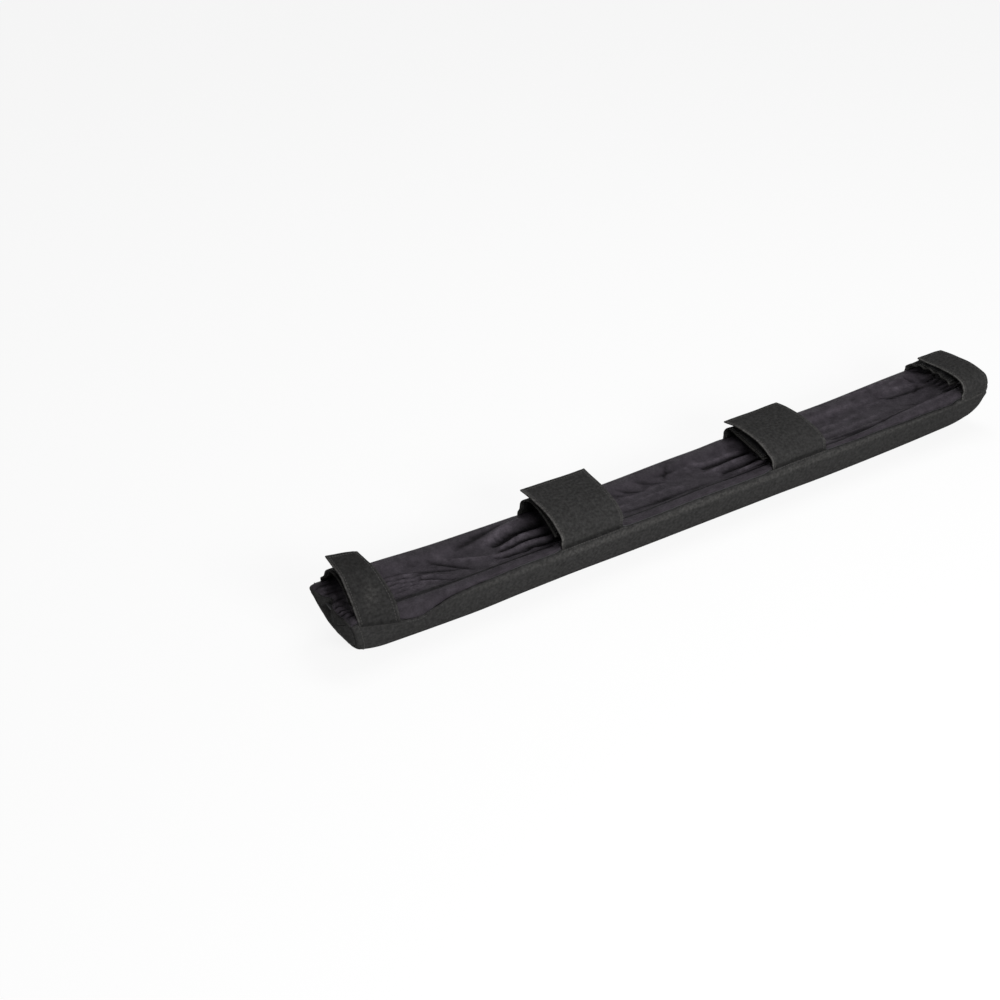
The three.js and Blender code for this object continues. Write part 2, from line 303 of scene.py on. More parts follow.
def capped_faces(rows, columns):
    """The faces of a tube of points kept ring by ring, with both ends closed."""
    last = (rows - 1) * columns
    ends = [list(range(columns)), list(range(last, last + columns))[::-1]]
    return grid_faces(rows, columns, closed=True).tolist() + ends


def mark_points(mesh, **marks):
    """Gives each point of a mesh one number for each mark."""
    for key, values in marks.items():
        mesh.attributes.new(key, "FLOAT", "POINT").data.foreach_set("value", np.ravel(values))


def add_cloth(name, points, faces, material, uv=None, marks=None, closed=False):
    """A smooth mesh piece from points in millimetres, with its cloth coordinates and edge marks."""
    mesh = bpy.data.meshes.new(name)
    mesh.from_pydata((np.asarray(points) * MM).tolist(), [], [list(map(int, f)) for f in faces])
    if closed:
        shape = bmesh.new()
        shape.from_mesh(mesh)
        bmesh.ops.recalc_face_normals(shape, faces=shape.faces)
        shape.to_mesh(mesh)
        shape.free()
    mesh.polygons.foreach_set("use_smooth", [True] * len(mesh.polygons))
    if uv is not None:
        corner_vertices = np.empty(len(mesh.loops), np.int64)
        mesh.loops.foreach_get("vertex_index", corner_vertices)
        layer = mesh.uv_layers.new(name="cloth")
        layer.data.foreach_set("uv", (np.asarray(uv)[corner_vertices] * MM).ravel())
    mark_points(mesh, **(marks or {}))
    mesh.materials.append(material)
    piece = bpy.data.objects.new(name, mesh)
    scene.collection.objects.link(piece)
    return piece


def foam_material():
    material, tree, shader = new_material("closed-cell foam", Base_Color=FOAM_COLOUR, Roughness=0.95)
    spot = place(tree, "ShaderNodeTexCoord").outputs["Object"]
    cells = place(tree, "ShaderNodeTexVoronoi", Vector=spot, Scale=1 / FOAM_CELL).outputs["Distance"]
    bump = place(tree, "ShaderNodeBump", Strength=0.5, Distance=0.0004, Height=cells)
    tree.links.new(bump.outputs[0], shader.inputs["Normal"])
    return material


def foam_bar():
    inset = CANVAS + CLEARANCE
    side = half_section(np.linspace(RIM_ARC / 3, WALL_FOOT, 6), inset, 12, 3)
    under = whole_section(side, side)
    top_y = np.linspace(side[0, 0], -side[0, 0], 33)[1:-1]
    room = FOLD_ROOM * ramp(HALF_WIDTH - RIM_RADIUS - np.abs(top_y), 0, 4)
    top = np.stack([top_y, LINING_TOP - NYLON - CLEARANCE - room - groove_depth(top_y)], -1)
    ring = np.concatenate([under, top])
    last = 1 - (inset + 0.5) / HALF_LENGTH
    stations = np.linspace(-last, last, 121)
    points = placed(stations[:, None], ring[None, :, 0], ring[None, :, 1])
    faces = capped_faces(len(stations), len(ring))
    return add_cloth("foam_bar", points.reshape(-1, 3), faces, foam_material(), closed=True)


foam = foam_bar()
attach(foam, "root")
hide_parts("foam_core")


# Canvas cover and end panels
# One piece of coated polyester canvas goes round the crown and up both walls, where the lining and
# the straps are sewn into its upper seams. A D-shaped panel closes each end. All are sewn inside
# out and turned, so a seam is a valley between rounded edges, and the foam keeps the cloth puffed.
CANVAS_COLOUR = (0.0290, 0.0286, 0.0282, 1)
# Paler canvas for real wear and for painted highlight
WORN_AND_HIGHLIGHT_CANVAS = (0.075, 0.073, 0.070, 1)
CANVAS_THREAD = 0.00062
SEAM_RUN = 5.6
SEAM_RUN_AT_STRAP = 2.7
SEAM_DIPS = [
    (-425, 1), (-414, 5.0), (-392, 9.5), (-371, 13.8), (-360, 17.0), (-350, 17.2), (-343, 15.2),
    (-335, 12.0), (-325, 8.6), (-310, 4.9), (-290, 3.3), (-268, 1.8), (-230, 0.5), (-180, 0),
    (180, 0), (260, 2.2), (330, 4.4), (372, 6.2), (390, 7), (425, 7),
]
SEAM_ROLL = 2.6
SEAM_TURN = math.radians(112)
WALL_BULGE = 1.8
WALL_MIDDLE = 47.4
# Strength and spread of the painted highlight along the cover's walls
WALL_HIGHLIGHT = 0.3
WALL_HIGHLIGHT_SPREAD = 3.4
LEFT_BELLY = 2.4
RIGHT_BELLY = 1.2
BELLY_HOLLOW = 1.2
DRAWN_CANVAS = CANVAS * 0.85
BENCH_GAP = 0.02
END_TURN_DOWN = 2.4
PANEL_MIDDLE = (0, 28)
PANEL_BULGE = 4.6
PANEL_ROLL = 1.5
PANEL_RINGS = 15
COVER_PITCH = 2.7
RIM_ROWS = 13
DOME_ROWS = 24
FOOT_ROWS = 4
MIDDLE_STRAP_CENTRE = 138
END_STRAP_CENTRE = 397
END_STRAP_WIDTH = 38
MIDDLE_STRAP_WIDTH = 76
STRAP_CENTRES = [-END_STRAP_CENTRE, -MIDDLE_STRAP_CENTRE, MIDDLE_STRAP_CENTRE, END_STRAP_CENTRE]
STRAP_WIDTHS = [END_STRAP_WIDTH, MIDDLE_STRAP_WIDTH, MIDDLE_STRAP_WIDTH, END_STRAP_WIDTH]


def new_tree(name, kind, inputs, outputs):
    """A node group with named sockets, and what its own input node gives."""
    tree = bpy.data.node_groups.new(name, kind)
    for in_out, sockets in (("INPUT", inputs), ("OUTPUT", outputs)):
        for socket, carries in sockets.items():
            tree.interface.new_socket(socket, in_out=in_out, socket_type="NodeSocket" + carries)
    return tree, place(tree, "NodeGroupInput").outputs


def woven_group():
    """Plain weave: threads go over and under in turn, each a little thicker or thinner."""
    inputs = {"Vector": "Vector", "Thread": "Float", "Slub": "Float"}
    group, given = new_tree("woven cloth", "ShaderNodeTree", inputs, {"Height": "Float"})
    drift = place(group, "ShaderNodeTexNoise", Vector=given["Vector"], Scale=420.0, Detail=2.0)
    offset = maths(group, "MULTIPLY", drift.outputs["Fac"], given["Slub"])
    per_thread = maths(group, "DIVIDE", 1.0, given["Thread"])
    parts = place(group, "ShaderNodeSeparateXYZ", Vector=given["Vector"])
    a = maths(group, "MULTIPLY_ADD", parts.outputs["X"], per_thread, offset)
    b = maths(group, "MULTIPLY_ADD", parts.outputs["Y"], per_thread, offset)

    def thread(along, across, sign):
        half_turns = maths(group, "MULTIPLY", across, math.pi)
        round_back = maths(group, "ABSOLUTE", maths(group, "SINE", half_turns))
        turn = maths(group, "ADD", maths(group, "SUBTRACT", along, 0.5), maths(group, "FLOOR", across))
        over = maths(group, "COSINE", maths(group, "MULTIPLY", turn, math.pi))
        lift = maths(group, "MULTIPLY_ADD", over, 0.45 * sign, 0.75)
        return maths(group, "MULTIPLY", round_back, lift)

    height = maths(group, "MAXIMUM", thread(b, a, 1), thread(a, b, -1))
    place(group, "NodeGroupOutput", Height=height)
    return group


def mottle_group():
    """Patchy tone of dyed, handled cloth: soft clouds with a finer fleck over them."""
    inputs = {"Vector": "Vector", "Size": "Float"}
    group, given = new_tree("mottled cloth", "ShaderNodeTree", inputs, {"Mask": "Float"})
    scale = maths(group, "DIVIDE", 1.0, given["Size"])
    fine_scale = maths(group, "MULTIPLY", scale, 5.0)
    clouds = place(group, "ShaderNodeTexNoise", Vector=given["Vector"], Scale=scale, Detail=3.0)
    flecks = place(group, "ShaderNodeTexNoise", Vector=given["Vector"], Scale=fine_scale, Detail=2.0)
    both = maths(group, "MULTIPLY_ADD", flecks.outputs["Fac"], 0.5, clouds.outputs["Fac"])
    mask = maths(group, "MULTIPLY_ADD", maths(group, "SUBTRACT", both, 0.75), 2.2, 0.5, clamp=True)
    place(group, "NodeGroupOutput", Mask=mask)
    return group


woven = woven_group()
mottled = mottle_group()


def cloth_material(name, colour, wear_and_highlight_colour, thread, gloss, weave_height, mottle, crinkle):
    """Woven cloth on the piece's own cloth coordinates, with a mark for wear and painted highlight, and a
    mark for painted shade.
    """
    roughness, specular = gloss
    mottle_size, spread = mottle
    crinkle_scale, crinkle_height = crinkle
    material, tree, shader = new_material(name, Specular_IOR_Level=specular)
    cloth = place(tree, "ShaderNodeUVMap", {"uv_map": "cloth"}).outputs[0]
    spot = place(tree, "ShaderNodeTexCoord").outputs["Object"]
    weave = place(tree, "ShaderNodeGroup", {"node_tree": woven}, Vector=cloth, Thread=thread, Slub=0.35)
    tone = place(tree, "ShaderNodeGroup", {"node_tree": mottled}, Vector=spot, Size=mottle_size)
    weave, tone = weave.outputs["Height"], tone.outputs["Mask"]
    wear, creased = (
        place(tree, "ShaderNodeAttribute", {"attribute_name": mark}).outputs["Fac"]
        for mark in ("wear", "crease")
    )
    # The first mark mixes in the paler colour: real wear at the straps' edges and tips, and painted
    # highlight on the cover's wall band, a strap flap and the lining's raised folds.
    patch_strength = maths(tree, "MULTIPLY_ADD", tone, 0.6, 0.65)
    patchy = maths(tree, "MULTIPLY", wear, patch_strength, clamp=True)
    cloud = place(tree, "ShaderNodeMapRange", Value=tone, To_Min=1 - spread, To_Max=1 + spread)
    gaps = place(tree, "ShaderNodeMapRange", Value=weave, To_Min=0.7, To_Max=1.1)
    # Painted shade: the second mark darkens the colour where shade falls.
    unshaded = maths(tree, "SUBTRACT", 1.0, creased, clamp=True)
    factor = maths(tree, "MULTIPLY", maths(tree, "MULTIPLY", cloud.outputs[0], gaps.outputs[0]), unshaded)
    base = place(tree, "ShaderNodeMix", {"data_type": "RGBA"}, Factor=patchy, A=colour, B=wear_and_highlight_colour)
    final = place(tree, "ShaderNodeVectorMath", {"operation": "SCALE"}, Scale=factor)
    tree.links.new(base.outputs["Result"], final.inputs[0])
    shine = place(
        tree, "ShaderNodeMapRange", Value=tone, To_Min=roughness + 0.06, To_Max=roughness - 0.06
    )
    threads = place(tree, "ShaderNodeBump", Strength=0.7, Distance=weave_height, Height=weave)
    crinkles = place(
        tree, "ShaderNodeTexNoise", Vector=spot, Scale=crinkle_scale, Detail=4.0, Distortion=0.6
    ).outputs["Fac"]
    handled = place(
        tree, "ShaderNodeBump", Strength=0.7, Distance=crinkle_height, Height=crinkles,
        Normal=threads.outputs[0],
    )
    for node, socket in ((final, "Base Color"), (shine, "Roughness"), (handled, "Normal")):
        tree.links.new(node.outputs[0], shader.inputs[socket])
    return material


canvas = cloth_material(
    "coated canvas", CANVAS_COLOUR, WORN_AND_HIGHLIGHT_CANVAS, CANVAS_THREAD, gloss=(0.85, 0.02),
    weave_height=0.00025, mottle=(0.0032, 0.34), crinkle=(170.0, 0.0008),
)


def strap_nearness(x, reach):
    """1 within a strap's width, falling to 0 at reach beyond its edges."""
    total = np.zeros(np.shape(x))
    for centre, width in zip(STRAP_CENTRES, STRAP_WIDTHS):
        beyond = np.abs(x - centre) - width / 2
        total = np.maximum(total, 1 - smooth(beyond, 0, reach))
    return total


def seam_dip(x):
    """How much lower the near seam lies towards the ends, where the lining hangs over the wall."""
    spread = np.linspace(-6, 6, 5)
    places, dips = np.transpose(SEAM_DIPS)
    return np.mean([np.interp(x + shift, places, dips) for shift in spread], axis=0)


def seam_run(x, near):
    """How far over the rim the lining's seam lies, higher where a strap pulls it up."""
    between = SEAM_RUN if near else SEAM_RUN - 0.8
    run = between + (SEAM_RUN_AT_STRAP - between) * strap_nearness(x, 9) + 0.25 * np.sin(x / 11)
    return run + seam_dip(x) if near else run


def end_distance(station):
    return (1 - np.abs(station)) * HALF_LENGTH


def end_fold(station, y):
    """How far the upper edge of an end panel has folded in over the foam's end."""
    return np.where(station < 0, 9.0 * bell(y, 12, 10), -5.0 * bell(y, -6, 13))


def gathers(station, y):
    """Folds of the lining along both end seams, where it is eased into the shorter end panel."""
    distance = end_distance(station)
    right = station > 0
    run = np.where(right, 62, 30)
    fade = (1 - smooth(distance, 0, run)) * smooth(distance, -1, 5)
    drift = 2.6 * np.sin(y / 11 + np.where(right, 0.5, 2.0)) + 1.4 * np.sin(distance / 6 + y / 9)
    wave = np.sin((y + drift) * 2 * np.pi / 10.5) + 0.55 * np.sin((y - drift) * 2 * np.pi / 6.1 + 1)
    return 1.5 * fade * wave * ramp(HALF_WIDTH - 3 - np.abs(y), 0, 5)


def turned_down(station):
    """How far the lining turns down into the end seams."""
    return END_TURN_DOWN * (1 - smooth(end_distance(station), 0, 6))


def lining_line(station, y):
    """Height of the lining in the section before its longer folds."""
    shallow = 0.4 + 0.6 * smooth(end_distance(station), 3, 45)
    return LINING_TOP - shallow * groove_depth(y) + gathers(station, y) - turned_down(station)


def lining_place(station, across):
    """The lining's section by the run across it, flat between the rims and bent over them."""
    over = np.abs(across) - (HALF_WIDTH - RIM_RADIUS)
    bent = rim_point(np.maximum(over, 0), 0.15)
    y = np.where(over > 0, np.sign(across) * bent[..., 0], across)
    z = np.where(over > 0, bent[..., 1] - turned_down(station), lining_line(station, across))
    return y, z


def cover_stations():
    """Distances from the end seam: round the seam's roll, then evenly to the middle of the pad."""
    turn = np.linspace(SEAM_TURN, 0, 7)
    rolled = SEAM_ROLL * (1 - np.sin(turn))
    insets = SEAM_ROLL * (1 - np.cos(turn))
    flat = np.arange(SEAM_ROLL + 1.6, HALF_LENGTH, COVER_PITCH)
    distances = np.concatenate([rolled, flat])
    insets = np.concatenate([insets, np.zeros(len(flat))])
    half = 1 - distances / HALF_LENGTH
    stations = np.concatenate([-half, [0], half[::-1]])
    return stations, np.concatenate([insets, [0], insets[::-1]])


def cover_half(x, inset, near):
    """Half of the cover's section: its edge is turned in under the seam and stands a little proud."""
    start = seam_run(x, near)
    last = max(WALL_FOOT - start, 7)
    runs = np.concatenate([[0, 0.5, 1.2, 2.0], np.linspace(2.9, last, RIM_ROWS - 4)]) + start
    side = half_section(runs, inset, DOME_ROWS, FOOT_ROWS)
    proud = rim_point(runs, 1) - rim_point(runs, 0)
    turned_in = np.zeros(RIM_ROWS)
    turned_in[:5] = 1.9, 1.0, 0.2, -0.25, -0.3
    pucker = 0.22 * np.sin(x / 2.3 + 3 * np.sin(x / 31)) * np.exp(-(runs - start) / 4)
    side[:RIM_ROWS] += proud * (turned_in + pucker)[:, None]
    off_seam = ramp(inset, SEAM_ROLL, 0)
    bulge = WALL_BULGE * bell(side[:, 1], DOME_DEPTH + 1, 6) * off_seam
    if near:
        belly = LEFT_BELLY * smooth(-x, 215, 290) + RIGHT_BELLY * smooth(x, 120, 200)
        belly = belly - BELLY_HOLLOW * bell(x, -160, 50)
        bulge = bulge + belly * (bell(side[:, 1], 8, 8) * off_seam)
    side[:, 0] += bulge
    return side


def lengths_along(line):
    """How far along a line of points each of them lies."""
    return np.concatenate([[0], np.cumsum(np.linalg.norm(np.diff(line, axis=0), axis=1))])


stations, insets = cover_stations()
sections = np.stack([
    whole_section(cover_half(s * HALF_LENGTH, inset, True), cover_half(s * HALF_LENGTH, inset, False))
    for s, inset in zip(stations, insets)
])
cover_points = placed(stations[:, None], sections[..., 0], sections[..., 1])
COLUMNS, ROWS = cover_points.shape[:2]
girth = lengths_along(sections[COLUMNS // 2])
cover_uv = np.stack(np.broadcast_arrays(cover_points[..., 0], girth[None, :]), -1)
cover_faces = grid_faces(COLUMNS, ROWS)


def folded_in(points, station):
    """The points of an end panel with its upper edge folded in over the foam."""
    raised = smooth(points[..., 2], 30, HEIGHT)
    return points + np.stack([
        end_fold(station, points[..., 1]) * raised, 0 * raised, 0 * raised
    ], -1)


def panel_rings(end, column):
    """Rings of an end panel, from its seam inwards; the seam's own points come from the cover."""
    outline = sections[column]
    x = stations[column] * HALF_LENGTH
    edge = HALF_WIDTH - RIM_RADIUS
    top_run = np.linspace(edge + seam_run(x, False), -edge - seam_run(x, True), 46)[1:-1]
    top = np.stack(lining_place(np.full(len(top_run), stations[column]), top_run), -1)
    ring = np.concatenate([outline, top])
    middle = np.array(PANEL_MIDDLE)
    rings, flat = [], []
    for step in range(PANEL_RINGS + 1):
        share = (step / PANEL_RINGS) ** 1.35
        line = middle + (ring - middle) * (1 - 0.97 * share)
        bulge = PANEL_ROLL * ramp(share, 0, 0.05) ** 0.5 + PANEL_BULGE * np.sin(share * np.pi / 2)
        station = stations[column] + end * bulge / HALF_LENGTH
        rings.append(folded_in(placed(station, line[:, 0], line[:, 1]), end))
        flat.append(line)
    return np.array(rings), np.array(flat)


def sewn_bag():
    """Points and faces of the cover and both panels as one bag, with the panels' seams shared."""
    points, uv = [cover_points.reshape(-1, 3)], [cover_uv.reshape(-1, 2)]
    faces, parts = [cover_faces.tolist()], []
    start = COLUMNS * ROWS
    for end, column in ((-1, 0), (1, COLUMNS - 1)):
        rings, flat = panel_rings(end, column)
        index = start + np.arange(rings[..., 0].size).reshape(rings.shape[:2])
        start += index.size
        index[0, :ROWS] = column * ROWS + np.arange(ROWS)
        panel = index.ravel()[grid_faces(*index.shape, closed=True)].tolist() + [list(index[-1])]
        if end < 0:
            panel = [face[::-1] for face in panel]
        points.append(rings.reshape(-1, 3))
        uv.append(flat.reshape(-1, 2))
        faces.append(panel)
        parts.append(index)
    return np.concatenate(points), faces, np.concatenate(uv), parts


def settle(piece, held, frames, cap, pressure=0.0, cut=None, stiffness=15.0, bending=0.5, gravity=0.0):
    """Runs the cloth on a piece, lets no point go further than about cap, and keeps the result."""
    start = np.empty(len(piece.data.vertices) * 3)
    piece.data.vertices.foreach_get("co", start)
    start = start.reshape(-1, 3)
    group = piece.vertex_groups.new(name="held")
    for weight in np.unique(held):
        group.add(np.flatnonzero(held == weight).tolist(), float(weight), "REPLACE")
    modifier = piece.modifiers.new("cloth", "CLOTH")
    settings = modifier.settings
    settings.quality = 4
    settings.mass = 0.3
    settings.tension_stiffness = stiffness
    settings.compression_stiffness = stiffness
    settings.shear_stiffness = stiffness / 3
    settings.bending_stiffness = bending
    settings.air_damping = 2
    settings.effector_weights.gravity = gravity
    settings.vertex_group_mass = group.name
    settings.use_pressure = pressure > 0
    settings.uniform_pressure_force = pressure
    if cut is not None:
        piece.shape_key_add(name="as sewn")
        key = piece.shape_key_add(name="as cut")
        key.data.foreach_set("co", (cut * MM).ravel())
        settings.rest_shape_key = key
    modifier.point_cache.frame_start = 1
    modifier.point_cache.frame_end = frames
    for number in range(1, frames + 1):
        scene.frame_set(number)
    done = piece.evaluated_get(bpy.context.evaluated_depsgraph_get()).to_mesh()
    end = np.empty(len(done.vertices) * 3)
    done.vertices.foreach_get("co", end)
    piece.modifiers.remove(modifier)
    if cut is not None:
        piece.shape_key_clear()
    scene.frame_set(1)
    move = (end.reshape(-1, 3) - start) / MM
    length = np.linalg.norm(move, axis=1, keepdims=True)
    return start / MM + move * cap / (cap + length)


def puffed_bag():
    """The bag after the foam has pushed its cloth out between the seams."""
    points, faces, uv, parts = sewn_bag()
    held = np.zeros(len(points))
    rows = np.arange(COLUMNS * ROWS) % ROWS
    columns = np.arange(COLUMNS * ROWS) // ROWS
    near_rim = np.minimum(rows, ROWS - 1 - rows) < 8
    lying = (sections[columns, rows, 1] < 0.3) & (np.abs(stations[columns]) < 0.5)
    held[:COLUMNS * ROWS] = near_rim | lying | (columns == 0) | (columns == COLUMNS - 1)
    for index in parts:
        held[index[0]] = 1
    bag = add_cloth("bag", points, [face for part in faces for face in part], canvas)
    moved = settle(bag, held, frames=9, cap=1.6, pressure=3.5, bending=2.0)
    bpy.data.objects.remove(bag)
    moved[:, 2] = np.maximum(moved[:, 2], BENCH_GAP)
    return moved, faces, uv


bag_points, bag_faces, bag_uv = puffed_bag()


def thicken(piece, thickness):
    """Gives a piece of cloth its thickness on its inner side."""
    thick = piece.modifiers.new("cloth thickness", "SOLIDIFY")
    thick.thickness = thickness * MM
    thick.offset = -1


def cut_from_bag(name, faces):
    """One piece of the bag as its own object."""
    used = np.unique([vertex for face in faces for vertex in face])
    renumbered = {int(old): new for new, old in enumerate(used)}
    own_faces = [[renumbered[int(vertex)] for vertex in face] for face in faces]
    marks = {"wear": bag_wear[used]}
    piece = add_cloth(name, bag_points[used], own_faces, canvas, bag_uv[used], marks)
    thicken(piece, DRAWN_CANVAS)
    return piece


# Painted highlight: a lighter band along both walls of the cover just below the rim, missing at the left
# end and weaker on the left.
bag_wear = np.zeros(len(bag_points))
row_of = np.arange(COLUMNS * ROWS) % ROWS
from_hem = np.minimum(row_of, ROWS - 1 - row_of)
wall_middle = (WALL_MIDDLE - sections[..., 1].ravel()) / WALL_HIGHLIGHT_SPREAD
highlight_along = smooth(stations, -0.78, -0.64) * (0.6 + 0.4 * smooth(stations, -0.45, -0.38))
wall_wear = WALL_HIGHLIGHT * np.exp(-(wall_middle ** 4)) * np.repeat(highlight_along, ROWS)
bag_wear[:COLUMNS * ROWS] = np.where(from_hem > 2, wall_wear, 0)

cover = cut_from_bag("canvas_cover", bag_faces[0])
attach(cover, "root")
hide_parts("cover_shell")

for side, faces in (("left", bag_faces[1]), ("right", bag_faces[2])):
    panel = cut_from_bag(f"{side}_end_canvas", faces)
    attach(panel, "root")
    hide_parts(f"end_panel_{side}")


# Lining
# Thin black nylon over the grooved side, sewn to the canvas just over both rims. It is cut larger
# than the groove, so it lies in folds: it fans out from the straps' seams, is gathered at both
# ends, and has a long crease where it drops off the near shoulder of the foam into the groove.
NYLON_COLOUR = (0.0300, 0.0262, 0.0313, 1)
# Paler nylon for the painted highlight on the lining's raised folds
NYLON_HIGHLIGHT = (0.054, 0.047, 0.056, 1)
NYLON_THREAD = 0.00032
LINING_PITCH = 2.3
LINING_ROWS = 47
LINING_TUCK = 1.2
LINING_FULLNESS = 1.03
SCATTERED_CREASES = 130
FOLD_HEIGHT = 2.1
CREASE_SHADE = 0.85
DRAWN_NYLON = 0.45

nylon = cloth_material(
    "thin nylon lining", NYLON_COLOUR, NYLON_HIGHLIGHT, NYLON_THREAD, gloss=(0.45, 0.04),
    weave_height=0.00008, mottle=(0.010, 0.28), crinkle=(110.0, 0.0026),
)

# Each fold is a line of places on the pad, its height over the lining and its half width
LINING_FOLDS = [
    ([(-372, 17), (-341, 12), (-318, 10)], 1.3, 2.2),
    ([(-374, 9), (-345, 4), (-312, -2), (-296, -10)], 1.7, 2.2),
    ([(-374, 1), (-348, -3), (-318, -11), (-300, -16)], 1.6, 2.0),
    ([(-373, -7), (-350, -10), (-322, -15)], 1.5, 2.0),
    ([(-372, -15), (-348, -16), (-315, -19)], 1.2, 2.4),
    ([(-378, -31), (-352, -31), (-322, -31), (-296, -30), (-262, -29), (-225, -28), (-180, -29)],
     -2.1, 3.6),
    ([(-378, -26), (-352, -26), (-316, -27)], -1.3, 2.8),
    ([(-341, 8), (-316, -5), (-297, -18)], -1.3, 1.8),
    ([(-328, 14), (-299, 3), (-280, -6)], -1.2, 1.8),
    ([(-300, 22), (-285, 6), (-267, -14)], -1.1, 2.2),
    ([(-293, 26), (-270, 8), (-240, -6), (-215, -12)], 1.0, 3.6),
    ([(-266, 24), (-238, 28), (-206, 33)], -1.3, 2.4),
    ([(-236, 18), (-206, 26), (-178, 30)], 2.2, 3.6),
    ([(-226, 12), (-200, 19), (-160, 21)], -3.6, 3.2),
    ([(-222, 4), (-196, 9), (-162, 10)], 2.6, 2.8),
    ([(-224, -1), (-194, 1), (-152, 1)], -3.9, 3.1),
    ([(-232, -9), (-198, -6), (-160, -7)], 2.4, 2.6),
    ([(-226, -14), (-190, -13), (-148, -14)], -3.8, 3.1),
    ([(-250, -17), (-210, -18), (-170, -19)], 1.0, 2.4),
    ([(-96, -10), (-60, -14), (-20, -15), (40, -17)], -0.7, 2.6),
    ([(-92, 14), (-50, 10), (0, 12)], 0.8, 3.0),
    ([(-84, -2), (-40, 0), (10, -4)], 0.6, 2.6),
    ([(-60, 26), (-42, 16), (-30, 8)], -0.8, 2.2),
    ([(-36, 27), (-14, 18), (4, 8)], -0.7, 2.2),
    ([(30, 22), (66, 17), (104, 18)], 1.5, 3.4),
    ([(48, 12), (78, 11), (112, 12)], -2.4, 3.2),
    ([(40, 1), (76, 3), (112, 4)], 1.6, 3.2),
    ([(62, -8), (86, -7), (118, -8)], -2.2, 2.8),
    ([(76, -16), (96, -15), (124, -16)], 1.6, 2.6),
    ([(182, 20), (230, 24), (290, 22)], 0.8, 3.6),
    ([(178, 6), (226, 2), (284, 6)], 0.7, 4.0),
    ([(190, -9), (240, -12), (300, -9)], 0.7, 3.6),
    ([(310, 26), (345, 20), (372, 18)], 1.0, 2.6),
    ([(320, 12), (352, 8), (376, 8)], -1.1, 2.6),
    ([(270, 36), (298, 35), (330, 36)], 1.8, 1.5),
    ([(294, 31), (320, 33), (350, 35)], 1.6, 1.3),
    ([(322, 25), (345, 28), (366, 31)], 1.3, 1.3),
]
# The near shoulder's crease: places along it, then its height and its half width
SHOULDER_CREASES = [
    ([(-96, -33), (-30, -33.5), (40, -33), (130, -33)], 0.6, 2.2),
    ([(-112, -28), (-60, -29.5), (0, -29), (60, -29.5), (128, -29)], -1.6, 3.0),
    ([(240, -36), (300, -34), (350, -32), (404, -31)], 0.9, 2.2),
    ([(160, -37), (230, -35.5), (270, -33), (300, -29), (350, -25.5), (420, -24)], -2.4, 1.5),
    ([(196, -30), (226, -31.5), (262, -33)], -1.6, 1.4),
    ([(-330, -32), (-260, -34), (-190, -34)], 0.6, 2.4),
]


def distance_to_line(x, y, line):
    """Distance from each place to a line of points, and how far along it that is, from 0 to 1."""
    line = np.array(line, float)
    done = lengths_along(line)
    done /= done[-1]
    best = np.full(x.shape, 1e9)
    along = np.zeros(x.shape)
    for start, end, low, high in zip(line[:-1], line[1:], done[:-1], done[1:]):
        step = end - start
        share = np.clip(((x - start[0]) * step[0] + (y - start[1]) * step[1]) / (step @ step), 0, 1)
        gap = np.hypot(x - start[0] - share * step[0], y - start[1] - share * step[1])
        closer = gap < best
        best = np.where(closer, gap, best)
        along = np.where(closer, low + share * (high - low), along)
    return best, along


def folds(x, y):
    """Height of all the lining's folds over its smooth form."""
    total = np.zeros(x.shape)
    for line, height, width in LINING_FOLDS + SHOULDER_CREASES:
        gap, along = distance_to_line(x, y, line)
        taper = np.sin(np.pi * (0.12 + 0.76 * along))
        total += FOLD_HEIGHT * height * taper / (1 + (gap / width) ** 2) ** 1.8
    chance = np.random.default_rng(7)
    for _ in range(SCATTERED_CREASES):
        middle = chance.uniform((-400, -27), (400, 33))
        angle = chance.normal(0, 0.4)
        half = chance.uniform(6, 24) * np.array([math.cos(angle), math.sin(angle)])
        gap, along = distance_to_line(x, y, [middle - half, middle, middle + half])
        height = chance.uniform(-1.8, 1.5)
        total += height * np.sin(np.pi * along) / (1 + (gap / chance.uniform(0.9, 2.0)) ** 2) ** 1.8
    return total * ramp(HALF_WIDTH - RIM_RADIUS - np.abs(y), 0, 5)


